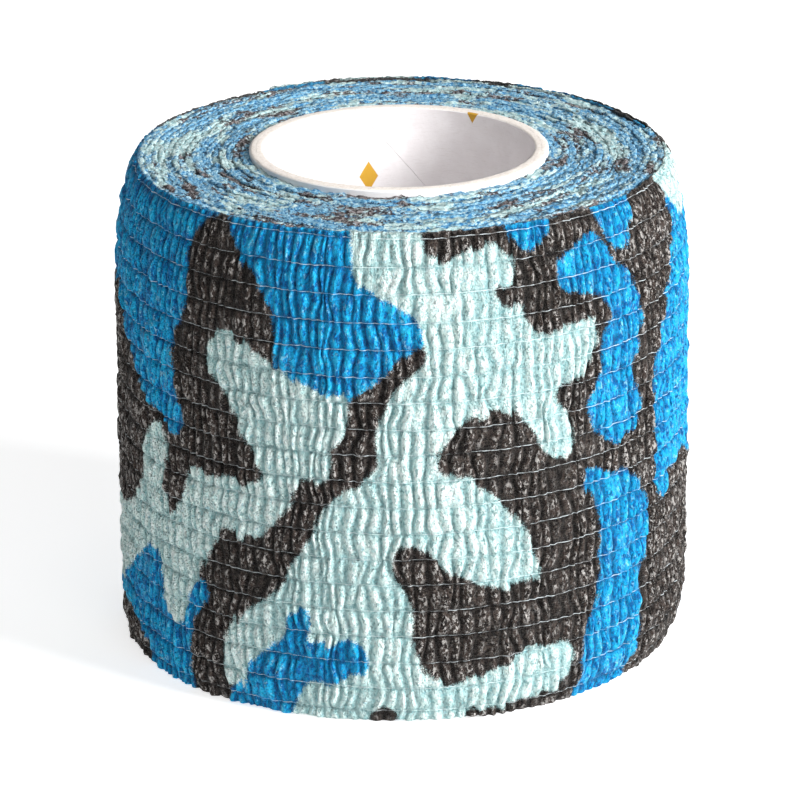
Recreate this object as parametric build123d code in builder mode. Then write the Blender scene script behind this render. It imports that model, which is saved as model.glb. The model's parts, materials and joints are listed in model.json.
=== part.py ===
"""Cohesive hand wrap: an elastic crepe strip wound on a paper core, free end to the back.

Millimetres, +Z up. The origin is on the core's axis in the plane that the roll stands on.
The strip is two thin webs with elastic threads between them. Its last quarter turn is the
free end, cut into links that are hinged to one another, so that it can be peeled.
"""

import math
import os

from build123d import *

# ---- Core: four paper plies glued one on the other, each with a helical butt seam ----
CORE_LENGTH = 50.7
BORE_RADIUS = 13.6
PLY_GAP = 0.03
PLIES = [
    # name, thickness, seam's angle at the top end (degrees)
    ("core_liner_ply", 0.20, 109.0),
    ("core_board_inner_ply", 0.46, 20.0),
    ("core_board_outer_ply", 0.46, 290.0),
    ("core_wrap_ply", 0.19, 200.0),
]
SEAM_WIDTH = 0.15
SEAM_LEAD = 99.0

# ---- Strip: laminate of inner web, elastic threads and outer web ----
STRIP_WIDTH = 50.0
WEB_THICKNESS = 0.20
THREAD_THICKNESS = 0.20
THREAD_WIDTH = 0.25
LAYER_GAP = 0.03
THREAD_COUNT = 19
THREAD_PITCH = 2.69
LOWEST_THREAD = 1.2

# ---- Winding: half circles about two centres in turn, so that the radius grows by the pitch ----
ROLL_RADIUS = 29.3
CORE_CLEARANCE = 0.05
WHOLE_TURNS = 17

# ---- Free end: links over the last part of the outer turn ----
LINK_COUNT = 6
LINK_ANGLE = 15.0
TAIL_TIP_ANGLE = 120.0
LINK_GAP_ANGLE = 0.2

# ---- Sizes that follow ----
LAMINATE = 2 * WEB_THICKNESS + THREAD_THICKNESS + 2 * LAYER_GAP
THREAD_OFFSET = WEB_THICKNESS + LAYER_GAP
OUTER_WEB_OFFSET = THREAD_OFFSET + THREAD_THICKNESS + LAYER_GAP
CORE_RADIUS = BORE_RADIUS + sum(ply[1] for ply in PLIES) + PLY_GAP * (len(PLIES) - 1)
WINDING_DEPTH = ROLL_RADIUS - CORE_RADIUS - CORE_CLEARANCE - LAMINATE
WINDING_PITCH = WINDING_DEPTH / (WHOLE_TURNS + 0.25)
FIRST_RADIUS = CORE_RADIUS + CORE_CLEARANCE + WINDING_PITCH / 4
TIP = 360.0 * WHOLE_TURNS + TAIL_TIP_ANGLE
TAIL_START = TIP - LINK_COUNT * LINK_ANGLE
THREAD_HEIGHTS = [LOWEST_THREAD + i * THREAD_PITCH - THREAD_WIDTH / 2 for i in range(THREAD_COUNT)]


def half_turn(angle):
    """Centre and inner-face radius of the half circle that holds a winding angle."""
    index = math.floor(angle / 180.0)
    side = -1 if index % 2 == 0 else 1
    return (side * WINDING_PITCH / 4, 0), FIRST_RADIUS + index * WINDING_PITCH / 2


def winding_arcs(start, end, offset):
    """The arcs (centre, radius, first angle, sweep) of a line wound from start to end."""
    arcs = []
    angle = start
    while angle < end:
        centre, radius = half_turn(angle)
        stop = min(end, 180.0 * (math.floor(angle / 180.0) + 1))
        arcs.append((centre, radius + offset, angle % 360.0, stop - angle))
        angle = stop
    return arcs


def winding_point(angle, offset):
    """The point at a winding angle, at an offset from the strip's inner face."""
    (x, y), radius = half_turn(angle)
    turn = math.radians(angle)
    return (x + (radius + offset) * math.cos(turn), y + (radius + offset) * math.sin(turn))


def wound_layer(name, start, end, offset, thickness, heights, width):
    """One layer of the strip, between two winding angles, extruded up from each height."""
    with BuildPart() as layer:
        with BuildSketch(*[Plane.XY.offset(height) for height in heights]):
            with BuildLine():
                for face in (offset, offset + thickness):
                    for centre, radius, first, sweep in winding_arcs(start, end, face):
                        CenterArc(centre, radius, first, sweep)
                for angle in (start, end):
                    Line(winding_point(angle, offset), winding_point(angle, offset + thickness))
            make_face()
        extrude(amount=width)
    layer.part.label = name
    export_step(layer.part, f"parts/{name}.step")
    return layer.part


def core_ply(name, inner_radius, thickness, seam_angle):
    """A paper sleeve, parted along its helical butt seam."""
    outer_radius = inner_radius + thickness
    seam_rise = SEAM_LEAD + CORE_LENGTH
    first_angle = seam_angle - 360.0 * seam_rise / SEAM_LEAD
    with BuildPart() as ply:
        with BuildSketch():
            Circle(outer_radius)
            Circle(inner_radius, mode=Mode.SUBTRACT)
        extrude(amount=CORE_LENGTH)
        with BuildLine(Plane.XY.offset(CORE_LENGTH - seam_rise).rotated((0, 0, first_angle))) as seam:
            Helix(SEAM_LEAD, seam_rise + SEAM_WIDTH, (inner_radius + outer_radius) / 2)
        with BuildSketch(Plane(seam.line @ 0, z_dir=seam.line % 0)):
            Rectangle(2 * thickness, SEAM_WIDTH)
        sweep(is_frenet=True, mode=Mode.SUBTRACT)
    ply.part.label = name
    export_step(ply.part, f"parts/{name}.step")
    return ply.part


os.makedirs("parts", exist_ok=True)

# ---- Core ----
ply_radius = BORE_RADIUS
for ply_name, ply_thickness, ply_seam in PLIES:
    core_ply(ply_name, ply_radius, ply_thickness, ply_seam)
    ply_radius += ply_thickness + PLY_GAP

# ---- Wound strip, up to the free end ----
wound_layer("inner_web", 0, TAIL_START, 0, WEB_THICKNESS, [0], STRIP_WIDTH)
wound_layer("outer_web", 0, TAIL_START, OUTER_WEB_OFFSET, WEB_THICKNESS, [0], STRIP_WIDTH)
for number, height in enumerate(THREAD_HEIGHTS, start=1):
    wound_layer(
        f"elastic_thread_{number:02d}",
        0,
        TAIL_START,
        THREAD_OFFSET,
        THREAD_THICKNESS,
        [height],
        THREAD_WIDTH,
    )

# ---- Free end: the same three layers in each link ----
for link in range(1, LINK_COUNT + 1):
    link_start = TAIL_START + (link - 1) * LINK_ANGLE + LINK_GAP_ANGLE
    link_end = TAIL_START + link * LINK_ANGLE
    wound_layer(f"tail_{link}_inner_web", link_start, link_end, 0, WEB_THICKNESS, [0], STRIP_WIDTH)
    wound_layer(
        f"tail_{link}_outer_web", link_start, link_end, OUTER_WEB_OFFSET, WEB_THICKNESS, [0], STRIP_WIDTH
    )
    wound_layer(
        f"tail_{link}_threads",
        link_start,
        link_end,
        THREAD_OFFSET,
        THREAD_THICKNESS,
        THREAD_HEIGHTS,
        THREAD_WIDTH,
    )

print(f"core radius {CORE_RADIUS:.2f}, winding pitch {WINDING_PITCH:.4f}")
for link in range(1, LINK_COUNT + 1):
    hinge_angle = TAIL_START + (link - 1) * LINK_ANGLE + LINK_GAP_ANGLE / 2
    x, y = winding_point(hinge_angle, LAMINATE)
    print(f"hinge {link}: {x:.4f}, {y:.4f}")
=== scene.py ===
"""Looks of the cohesive hand wrap: crepe strip, elastic threads and paper core.

Lengths are in millimetres until a mesh is made, and metres in Blender. A place on the strip is
given by its winding angle (degrees from the inner end) and its height.
"""

import json
import math

import bpy
import numpy as np
from mathutils import Matrix, Vector


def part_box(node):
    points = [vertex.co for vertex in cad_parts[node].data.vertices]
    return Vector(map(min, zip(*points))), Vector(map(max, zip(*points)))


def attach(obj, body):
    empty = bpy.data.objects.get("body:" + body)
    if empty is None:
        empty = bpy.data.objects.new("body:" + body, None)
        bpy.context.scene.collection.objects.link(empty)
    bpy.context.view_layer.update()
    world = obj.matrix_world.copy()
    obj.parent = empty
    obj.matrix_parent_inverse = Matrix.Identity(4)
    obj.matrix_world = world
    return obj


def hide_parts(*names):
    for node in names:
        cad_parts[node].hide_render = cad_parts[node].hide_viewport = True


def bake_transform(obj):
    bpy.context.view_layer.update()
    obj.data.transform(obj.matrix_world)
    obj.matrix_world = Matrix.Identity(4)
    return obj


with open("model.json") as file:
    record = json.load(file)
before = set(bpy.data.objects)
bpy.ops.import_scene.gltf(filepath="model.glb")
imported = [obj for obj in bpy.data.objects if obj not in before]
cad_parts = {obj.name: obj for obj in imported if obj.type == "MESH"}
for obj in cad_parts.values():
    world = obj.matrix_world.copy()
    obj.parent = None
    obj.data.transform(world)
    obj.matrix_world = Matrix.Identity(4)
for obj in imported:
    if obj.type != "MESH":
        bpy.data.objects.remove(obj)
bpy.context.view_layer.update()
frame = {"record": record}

MM = 0.001
SEED = 41

# ---- Sizes of the core and the winding, as in the CAD model ----
BORE_RADIUS = frame["record"]["mounts"][0]["dims"]["r_mm"]
CORE_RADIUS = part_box("core_wrap_ply")[1][0] / MM
CORE_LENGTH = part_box("core_wrap_ply")[1][2] / MM
STRIP_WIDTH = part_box("outer_web")[1][2] / MM
ROLL_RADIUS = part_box("tail_5_outer_web")[1][1] / MM
LAMINATE = 0.66
CORE_CLEARANCE = 0.05
WHOLE_TURNS = 17
# the roll's radius is taken a quarter turn on, where the fifth link crosses the Y axis
TURNS_TO_RADIUS = WHOLE_TURNS + 0.25
WINDING_PITCH = (ROLL_RADIUS - CORE_RADIUS - CORE_CLEARANCE - LAMINATE) / TURNS_TO_RADIUS

# ---- Winding angles along the strip, in degrees from its inner end ----
LINKS = 6
LINK_ANGLE = 15.0
TIP = 360.0 * WHOLE_TURNS + 120.0
TAIL_START = TIP - LINKS * LINK_ANGLE
PRINT_START = 360.0 * (WHOLE_TURNS - 1)
PLEATED_STRETCH = 462.0
DENSE_START = TIP - PLEATED_STRETCH

THREAD_COUNT = 19
THREAD_PITCH = 2.69
LOWEST_THREAD = 1.2
THREAD_RADIUS = 0.05

# ---- The roll's barrel shape: each turn lies closer to the core at the strip's edges ----
TOP_DRAW, TOP_REACH = 0.136, 12.7
BOTTOM_DRAW, BOTTOM_REACH = 0.065, 5.5
BOTTOM_DRAW_SWING = 0.035

# ---- Crepe: pleats between the threads ----
PLEAT_WIDTH, PLEAT_SPREAD = 1.06, 0.34
PLEAT_DEPTH = 0.56
COVERED_DEPTH = 0.34
PLEAT_COLUMNS = (0.0, 0.12, 0.26, 0.42, 0.5, 0.6, 0.75, 0.89)
CELL_ROWS = (0.0, 0.07, 0.18, 0.33, 0.5, 0.67, 0.82, 0.93)
ROWS_BELOW = (-0.44, -0.4, -0.28, -0.13)
ROWS_ABOVE = (0.0, 0.07, 0.13)


# ======== Smooth random fields ========
class Field:
    """Smooth random values from -1 to 1 over one or two coordinates, the same on each run."""

    def __init__(self, seed, size=256):
        self.table = np.random.default_rng(SEED + seed).uniform(-1, 1, (size, size))
        self.size = size

    def __call__(self, x, y=0.0):
        x, y = np.broadcast_arrays(np.asarray(x, float), np.asarray(y, float))
        column, row = np.floor(x).astype(int), np.floor(y).astype(int)
        u, v = x - column, y - row
        u, v = u * u * (3 - 2 * u), v * v * (3 - 2 * v)
        n, table = self.size, self.table
        low = table[row % n, column % n] * (1 - u) + table[row % n, (column + 1) % n] * u
        high = table[(row + 1) % n, column % n] * (1 - u) + table[(row + 1) % n, (column + 1) % n] * u
        return low * (1 - v) + high * v


def scatter(seed, *indices):
    """Unrelated values from -1 to 1, one for each set of whole numbers."""
    table = np.random.default_rng(SEED + seed).uniform(-1, 1, 65536)
    code = np.zeros(np.broadcast(*indices).shape, np.int64)
    for prime, index in zip((1, 7919, 104729), indices):
        code = code + prime * np.asarray(index, np.int64)
    return table[(code * 2654435761 >> 7) % 65536]


# ======== Winding ========
def inner_face(angle):
    """Radius of the strip's inner face at a winding angle, at mid-width."""
    return CORE_RADIUS + CORE_CLEARANCE + WINDING_PITCH * angle / 360.0


def barrel(radius, angle, height):
    """A radius drawn in towards the core near the strip's edges."""
    top = np.clip((height - (STRIP_WIDTH - TOP_REACH)) / TOP_REACH, 0, 1.1)
    bottom = np.clip((BOTTOM_REACH - height) / BOTTOM_REACH, 0, 1.1)
    lean = BOTTOM_DRAW + BOTTOM_DRAW_SWING * np.cos(np.radians(angle))
    draw = TOP_DRAW * top**2 + lean * bottom**2
    return CORE_RADIUS + (radius - CORE_RADIUS) * (1 - draw)


def triples(*columns):
    """Three arrays of one shape as an (n, 3) array."""
    return np.stack(columns, -1).reshape(-1, 3)


def place(radius, angle, height):
    """Points at a radius, winding angle and height, as an (n, 3) array."""
    turn = np.radians(angle)
    radius = barrel(radius, angle, height)
    return triples(radius * np.cos(turn), radius * np.sin(turn), height)


# ======== Meshes ========
def grid_faces(index):
    """Quads of a grid of point numbers, with its last row joined to its first."""
    high = np.roll(index, -1, 0)
    quads = [index[:, :-1], index[:, 1:], high[:, 1:], high[:, :-1]]
    return np.stack(quads, -1).reshape(-1, 4)


UV_EDGE, UV_WIDTH, UV_HEIGHT = 0.005, 0.965, 0.985
UV_OF_CAPS = 0.99


def grid_uvs(up, columns, bands=1):
    """Corners in the unit square for a grid's quads, its columns cut into bands that are stacked."""
    row, column = np.meshgrid(np.arange(len(up) - 1), np.arange(columns - 1), indexing="ij")
    rows = np.stack([row, row, row + 1, row + 1], -1).reshape(-1, 4)
    cols = np.stack([column, column + 1, column + 1, column], -1).reshape(-1, 4)
    width = math.ceil((columns - 1) / bands)
    band = cols.min(1, keepdims=True) // width
    along = UV_EDGE + UV_WIDTH * (cols - band * width) / width
    across = (UV_EDGE + band + UV_HEIGHT * np.asarray(up)[rows]) / bands
    return np.stack([along, across], -1)


def make_piece(name, points, quads, attributes=None, bake=None, caps=()):
    """A smooth-shaded mesh object from points in millimetres, its quads, and the faces at its ends."""
    mesh = bpy.data.meshes.new(name)
    loops = np.concatenate([quads.ravel(), *(np.asarray(cap) for cap in caps)]).astype(np.int32)
    sizes = np.array([4] * len(quads) + [len(cap) for cap in caps], np.int32)
    starts = np.concatenate([[0], np.cumsum(sizes)[:-1]]).astype(np.int32)
    mesh.vertices.add(len(points))
    mesh.vertices.foreach_set("co", (points * MM).astype(np.float32).ravel())
    mesh.loops.add(len(loops))
    mesh.loops.foreach_set("vertex_index", loops)
    mesh.polygons.add(len(sizes))
    mesh.polygons.foreach_set("loop_start", starts)
    mesh.polygons.foreach_set("use_smooth", np.ones(len(sizes), bool))
    mesh.update(calc_edges=True)
    for key, values in (attributes or {}).items():
        values = np.asarray(values, np.float32)
        kind, field = ("FLOAT", "value") if values.ndim == 1 else ("FLOAT_VECTOR", "vector")
        mesh.attributes.new(key, kind, "POINT").data.foreach_set(field, values.ravel())
    if bake is not None:
        layer = mesh.uv_layers.new(name="OFBake")
        at_caps = [np.full((len(cap), 2), UV_OF_CAPS) for cap in caps]
        corners = np.concatenate([bake.reshape(-1, 2), *at_caps])
        layer.data.foreach_set("uv", corners.astype(np.float32).ravel())
    piece = bpy.data.objects.new(name, mesh)
    bpy.context.scene.collection.objects.link(piece)
    return piece


# ======== Print: blue and mint patches on charcoal, outlines in (degrees along the strip, mm up) ========
MINT_PATCHES = [
    # low left: band with a bump, joined to the forked patch beside it
    [(212.3, 26.9), (215.6, 26.2), (216.0, 23.5), (214.8, 20.5), (216.8, 18.6), (219.9, 19.9),
     (222.4, 21.7), (223.0, 23.6), (228.0, 23.8), (237.0, 23.9), (241.4, 24.4), (241.5, 25.9),
     (237.2, 29.4), (231.6, 33.7), (229.2, 35.0), (229.3, 37.6), (233.0, 38.9), (238.5, 38.5),
     (247.5, 35.9), (253.0, 34.6), (259.0, 34.1), (260.0, 32.0), (258.0, 29.5), (256.0, 28.8),
     (256.2, 26.7), (254.0, 25.4), (249.0, 24.4), (247.8, 22.6), (243.5, 19.9), (240.0, 18.3),
     (233.2, 18.4), (230.2, 16.9), (227.2, 14.5), (225.8, 12.4), (222.4, 10.0), (221.2, 8.1),
     (218.4, 6.9), (214.2, 7.5), (213.4, 10.2), (211.6, 13.0), (208.6, 13.5), (204.5, 11.8),
     (197.0, 9.2), (190.0, 6.8), (181.0, 4.9), (172.0, 6.2), (167.0, 10.5), (171.0, 14.4),
     (180.0, 14.6), (190.0, 15.1), (197.5, 16.4), (203.6, 18.5), (206.2, 20.8), (206.0, 22.8),
     (208.0, 25.2)],
    # middle: tall patch from the top edge down to the foot
    [(260.3, 53.0), (260.3, 47.6), (261.4, 45.4), (266.0, 43.9), (271.2, 42.5), (274.0, 41.0),
     (274.6, 38.9), (273.8, 37.2), (270.4, 35.5), (267.0, 32.9), (265.2, 30.0), (265.6, 26.9),
     (262.6, 25.3), (257.5, 23.9), (254.8, 22.6), (252.6, 19.6), (248.4, 16.4), (244.0, 13.1),
     (238.6, 10.9), (234.6, 8.7), (232.1, 6.4), (231.9, 3.1), (233.4, 1.9), (236.2, 2.5),
     (238.2, 4.6), (242.0, 7.0), (245.6, 8.7), (247.0, 10.8), (249.6, 11.5), (251.4, 10.7),
     (251.7, 8.2), (256.0, 8.5), (260.6, 8.5), (262.9, 7.2), (262.2, 5.4), (257.0, 4.4),
     (251.6, 3.6), (248.6, 1.9), (246.6, -2.5), (262.4, -2.5), (263.4, 0.5), (266.2, 1.8),
     (268.8, 1.0), (270.0, -2.5), (281.5, -2.5), (282.9, 0.7), (291.0, 1.0), (297.6, 1.4),
     (299.6, 2.2), (302.2, 1.7), (303.2, 2.9), (305.6, 4.2), (305.8, 6.0), (303.0, 7.1),
     (296.6, 6.8), (290.0, 5.6), (283.0, 4.4), (276.4, 4.4), (273.6, 6.0), (272.0, 8.6),
     (272.1, 11.6), (270.4, 13.9), (268.4, 15.4), (268.5, 17.8), (270.6, 18.8), (274.4, 18.2),
     (278.6, 16.3), (284.6, 14.6), (291.0, 13.8), (296.2, 14.1), (298.0, 15.0), (296.2, 17.4),
     (293.8, 20.1), (290.2, 22.6), (284.4, 25.0), (279.0, 26.3), (276.9, 27.4), (278.4, 29.2),
     (281.2, 30.8), (286.6, 32.1), (291.2, 32.1), (294.2, 30.6), (297.8, 28.2), (301.6, 26.7),
     (304.4, 26.5), (305.8, 28.4), (304.2, 30.7), (301.4, 32.9), (303.0, 34.0), (308.2, 34.8),
     (311.2, 36.6), (311.4, 38.8), (309.4, 39.9), (303.6, 39.9), (297.6, 39.5), (295.0, 40.6),
     (294.3, 42.4), (291.6, 42.9), (289.2, 43.3), (289.2, 44.5), (292.4, 45.0), (293.2, 46.4),
     (291.6, 48.0), (287.2, 48.7), (281.4, 47.7), (277.0, 47.4), (274.6, 48.3), (274.0, 53.0)],
    # right shoulder
    [(339.6, 53.0), (340.6, 49.2), (344.6, 47.5), (348.0, 45.6), (353.0, 44.2), (359.0, 45.1),
     (364.0, 48.4), (366.0, 53.0)],
]

BLUE_PATCHES = [
    # left shoulder
    [(228.4, 53.0), (226.5, 49.2), (223.6, 47.7), (222.3, 45.8), (223.1, 42.4), (222.2, 39.6),
     (219.2, 37.9), (218.9, 34.0), (219.9, 31.4), (222.0, 29.2), (220.8, 27.5), (217.2, 27.3),
     (211.0, 28.8), (206.2, 29.9), (203.6, 31.6), (200.0, 33.2), (195.6, 35.4), (194.2, 37.8),
     (190.0, 38.7), (183.6, 37.8), (176.0, 40.4), (168.4, 43.4), (163.0, 48.0), (162.0, 53.0)],
    # low left
    [(209.0, 16.0), (226.9, 12.0), (226.4, 9.2), (223.9, 8.0), (223.0, 5.4), (222.3, 1.4),
     (222.2, -3.0), (208.6, -3.0), (206.6, 1.2), (202.4, 3.2), (196.2, 4.5), (190.0, 5.0),
     (183.0, 3.4), (175.0, 1.4), (167.4, 3.0), (164.4, 7.0), (172.0, 12.0)],
    # inside the foot of the middle patch
    [(233.0, -3.0), (233.2, 0.8), (235.0, 2.6), (239.0, 9.0), (247.0, 13.4), (254.0, 12.0),
     (263.0, 10.0), (265.6, 6.0), (262.0, 2.6), (252.0, 2.0), (250.6, -3.0)],
    # top, left of middle
    [(232.3, 53.0), (232.6, 49.3), (235.3, 47.2), (239.6, 45.4), (242.2, 43.6), (244.3, 41.9),
     (245.2, 39.4), (245.4, 36.4), (248.6, 33.6), (258.0, 32.6), (261.6, 34.2), (265.2, 35.5),
     (268.8, 37.7), (274.4, 39.3), (278.0, 42.0), (270.0, 45.6), (264.0, 49.0), (264.0, 53.0)],
    # small ones at the top edge
    [(292.4, 53.0), (292.8, 49.4), (295.4, 47.6), (298.2, 48.1), (301.6, 49.4), (303.0, 53.0)],
    [(313.8, 53.0), (314.4, 49.0), (316.8, 46.8), (319.6, 45.4), (321.8, 46.0), (323.4, 47.4),
     (325.2, 49.0), (325.6, 53.0)],
    # curl right of middle
    [(302.5, 44.9), (303.2, 46.4), (306.4, 47.2), (309.6, 47.8), (313.2, 47.5), (315.6, 46.3),
     (318.0, 44.5), (321.6, 43.0), (323.6, 41.0), (324.9, 38.7), (324.0, 35.6), (322.1, 33.4),
     (322.8, 31.6), (325.0, 29.9), (324.0, 28.1), (320.6, 26.8), (315.6, 26.5), (311.6, 27.5),
     (309.2, 29.6), (309.6, 31.6), (312.4, 33.8), (313.0, 36.6), (313.8, 38.4), (315.8, 39.2),
     (314.4, 40.9), (311.6, 41.9), (307.0, 42.9), (303.8, 43.5)],
    # tall one below it
    [(308.3, 22.9), (309.2, 24.1), (313.0, 23.5), (318.2, 23.2), (322.2, 22.1), (325.2, 20.6),
     (327.3, 18.4), (328.2, 15.8), (327.4, 13.6), (325.5, 11.4), (325.6, 8.6), (325.3, 5.2),
     (324.0, 2.9), (322.3, 1.6), (321.8, -3.0), (308.0, -3.0), (308.2, 3.4), (309.0, 7.4),
     (311.6, 9.9), (312.4, 13.6), (312.7, 17.6), (311.2, 20.6)],
    # right side
    [(341.0, 52.0), (341.6, 47.7), (341.8, 44.4), (338.2, 42.7), (338.0, 40.8), (335.4, 39.0),
     (335.2, 37.0), (332.0, 34.8), (330.3, 31.8), (330.0, 27.0), (330.3, 22.6), (331.2, 19.8),
     (333.4, 18.0), (336.0, 17.5), (338.2, 19.4), (342.4, 20.7), (348.4, 20.9), (355.6, 19.0),
     (361.0, 21.4), (364.4, 28.0), (362.4, 35.6), (364.6, 42.4), (360.0, 50.0)],
]

PRINT_REPEAT = 200.0
SPOTS_AT_ONCE = 4000


def repeated(patches):
    """The patches with their next repeats on both sides, turned over from one repeat to the next."""
    copies = list(patches)
    for turn in (-PRINT_REPEAT, PRINT_REPEAT):
        copies += [[(a + turn, STRIP_WIDTH - h) for a, h in patch] for patch in patches]
    return copies


def smooth_outline(points, steps=6):
    """A closed curve through the points (Catmull-Rom), as a polygon in millimetres."""
    corners = np.array(points, float)
    corners[:, 0] *= math.radians(1) * ROLL_RADIUS
    before, after, later = (np.roll(corners, k, 0) for k in (1, -1, -2))
    t = (np.arange(steps) / steps)[None, :, None]
    p0, p1, p2, p3 = (p[:, None, :] for p in (before, corners, after, later))
    curve = 0.5 * (
        2 * p1
        + (p2 - p0) * t
        + (2 * p0 - 5 * p1 + 4 * p2 - p3) * t**2
        + (3 * p1 - p0 - 3 * p2 + p3) * t**3
    )
    return curve.reshape(-1, 2)


def distance_to_patches(patches, spots, reach=2.0):
    """Signed distance in millimetres from each spot to the nearest patch's edge, negative inside."""
    nearest = np.full(len(spots), reach)
    for patch in patches:
        outline = smooth_outline(patch)
        low, high = outline.min(0) - reach, outline.max(0) + reach
        close = np.flatnonzero(((spots > low) & (spots < high)).all(1))
        for part in np.array_split(close, max(1, len(close) // SPOTS_AT_ONCE)):
            here = spots[part][:, None, :]
            start, end = outline[None], np.roll(outline, -1, 0)[None]
            side = end - start
            share = ((here - start) * side).sum(-1) / np.maximum((side**2).sum(-1), 1e-12)
            gap = here - start - np.clip(share, 0, 1)[..., None] * side
            away = np.sqrt((gap**2).sum(-1).min(1))
            level = (start[..., 1] > here[..., 1]) != (end[..., 1] > here[..., 1])
            rise = np.where(side[..., 1] == 0, 1e-9, side[..., 1])
            cross = start[..., 0] + (here[..., 1] - start[..., 1]) * side[..., 0] / rise
            inside = (level & (here[..., 0] < cross)).sum(1) % 2 == 1
            nearest[part] = np.minimum(nearest[part], np.where(inside, -away, away))
    return nearest


# ======== Crepe of the outer turn and the free end ========
shift_wide, shift_cell, thread_wave = Field(1), Field(2), Field(3)
bead_height, edge_wave, web_wave, rim_crumb = Field(4), Field(5), Field(6), Field(7)

# pleats are counted back from the tip, so that the strip's cut end is a whole pleat
PLEAT_STEP = math.degrees(PLEAT_WIDTH / ROLL_RADIUS)
PLEAT_TOTAL = int((TIP - DENSE_START) / PLEAT_STEP)
pleat_sizes = 1 + PLEAT_SPREAD * scatter(10, np.arange(PLEAT_TOTAL))
pleat_ends = np.concatenate([[0], np.cumsum(pleat_sizes)])
PLEAT_EDGES = (TIP - pleat_ends * ((TIP - DENSE_START) / pleat_sizes.sum()))[::-1]


def nearest_pleat(angle):
    """Number of the pleat boundary nearest to a winding angle."""
    return int(np.abs(PLEAT_EDGES - angle).argmin())


# the free end's pieces meet at these valleys: one just before its first hinge, and then mid-link
HINGE_LEAD = 3.0
SEAMS = [nearest_pleat(TAIL_START - HINGE_LEAD)]
SEAMS += [nearest_pleat(TAIL_START + (link + 0.5) * LINK_ANGLE) for link in range(LINKS)]
SEAMS.append(PLEAT_TOTAL)


def column_phases(first, last):
    """Pleat coordinates (whole number: a valley) of the mesh columns from one valley to another."""
    whole = np.arange(first, last)[:, None] + np.array(PLEAT_COLUMNS)[None]
    return np.append(whole.ravel(), last)


def row_phases():
    """Thread coordinates (whole number: a thread) of the mesh rows, with the margins outside them."""
    cells = (np.arange(THREAD_COUNT - 1)[:, None] + np.array(CELL_ROWS)[None]).ravel()
    return np.concatenate([ROWS_BELOW, cells, THREAD_COUNT - 1 + np.array(ROWS_ABOVE)])


# how far the valleys sway, in millimetres: from cell to cell, over many pleats, and finely
CELL_SWAY, WIDE_SWAY, FINE_SWAY = 0.46, 0.26, 0.18
# pleats on both sides of a seam that stay straight
SEAM_CALM = 1.6
# how far the threads and the cut edges stray up and down, in millimetres
THREAD_DRIFT, THREAD_TREMOR = 0.10, 0.05
EDGE_TUFTS, EDGE_WAVES, EDGE_SHIFT = 0.11, 0.13, 0.02
BOTTOM_TUCK, TOP_ROOM = 0.14, 0.25
MARGIN_HEIGHT = 0.4
# shapes of the beads, as shares of their own size
BEAD_SKEW = 0.35
CREST_POWER, CREST_SPREAD = 1.35, 0.45
DIMPLE_WIDTH, DIMPLE_HEIGHT, DIMPLE_SPREAD, DEEPEST_DIMPLE = 0.16, 0.13, 0.3, 0.6
MOST_MERGED = 0.6
PINCH, PINCH_SPREAD = 0.42, 0.28
BEAD_SPREAD, BEAD_WAVES = 0.30, 0.25
SMALLEST_BEAD, LARGEST_BEAD = 0.35, 1.35
PUFF = 0.16
# lumps, swell and rounded rims of the two faces, in millimetres
LUMPS, FINE_LUMPS = 0.11, 0.10
SWELL, COVERED_SWELL = 0.12, 0.02
RIM_ROUNDING, RIM_REACH = 0.30, 0.45
INNER_RELIEF, INNER_HUG, INNER_REACH = 0.15, 0.06, 0.8
# degrees of strip that nothing covers, and over how many degrees its pleats open out
UNCOVERED, OPENING = 362.0, 4.0


class Cells:
    """Pleat and thread coordinates of a grid of points, and where each point lies in its own cell."""

    def __init__(self, phases, rows):
        self.u, self.v = np.meshgrid(phases, rows)
        self.pleat = np.minimum(np.floor(self.u), PLEAT_TOTAL - 1).astype(int)
        self.row = np.clip(np.floor(self.v + 1e-9), -1, THREAD_COUNT - 1).astype(int)
        self.part = self.u - self.pleat
        self.across = self.v - self.row
        self.middle = np.clip(self.across, 0, 1)
        beyond = np.maximum(-self.v, self.v - (THREAD_COUNT - 1))
        self.margin = np.clip(beyond / MARGIN_HEIGHT, 0, 1)

    def scatter(self, seed, row_shift=0):
        """An unrelated value from -1 to 1 for each cell."""
        return scatter(seed, self.pleat, self.row + row_shift)


def swayed_angle(at):
    """Winding angles: the valleys wander sideways from cell to cell, but not where pieces meet."""
    straight = np.min([np.abs(at.u - seam) for seam in SEAMS + [0]], axis=0)
    settle = 1 - np.exp(-((straight / SEAM_CALM) ** 2))
    hold = at.across**3 * (at.across * (6 * at.across - 15) + 10)
    low, high = (shift_cell(at.u / 1.9, (at.row + k) * 1.37) for k in (0, 1))
    sideways = CELL_SWAY * ((1 - hold) * low + hold * high)
    sideways = sideways + WIDE_SWAY * shift_wide(at.u / 5.3, at.v / 3.1)
    sideways = sideways + FINE_SWAY * shift_wide(at.u / 1.6 + 9, at.v * 2.3)
    start, end = PLEAT_EDGES[at.pleat], PLEAT_EDGES[at.pleat + 1]
    return start + at.part * (end - start) + np.degrees(sideways * settle / ROLL_RADIUS)


def ruffled_height(at):
    """Heights: the threads wave a little, and the cut edges ruffle beyond the outermost ones."""
    height = LOWEST_THREAD + THREAD_PITCH * at.v
    height = height + THREAD_DRIFT * thread_wave(at.u / 9.0, np.round(at.v) * 3.1)
    height = height + THREAD_TREMOR * thread_wave(at.u / 1.7, at.v * 2.3)
    ruffle = EDGE_TUFTS * scatter(11, at.pleat, at.row * 0 + 3)
    ruffle = ruffle + EDGE_WAVES * edge_wave(at.u / 7.0, np.sign(at.v) * 5) + EDGE_SHIFT
    ruffle = ruffle * (0.6 + 0.4 * np.sin(np.pi * at.part)) - np.where(at.v < 0, BOTTOM_TUCK, 0.0)
    height = height + np.where(at.v < 0, -1, 1) * at.margin * ruffle
    return np.clip(height, 0.0, STRIP_WIDTH + TOP_ROOM)


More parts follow.
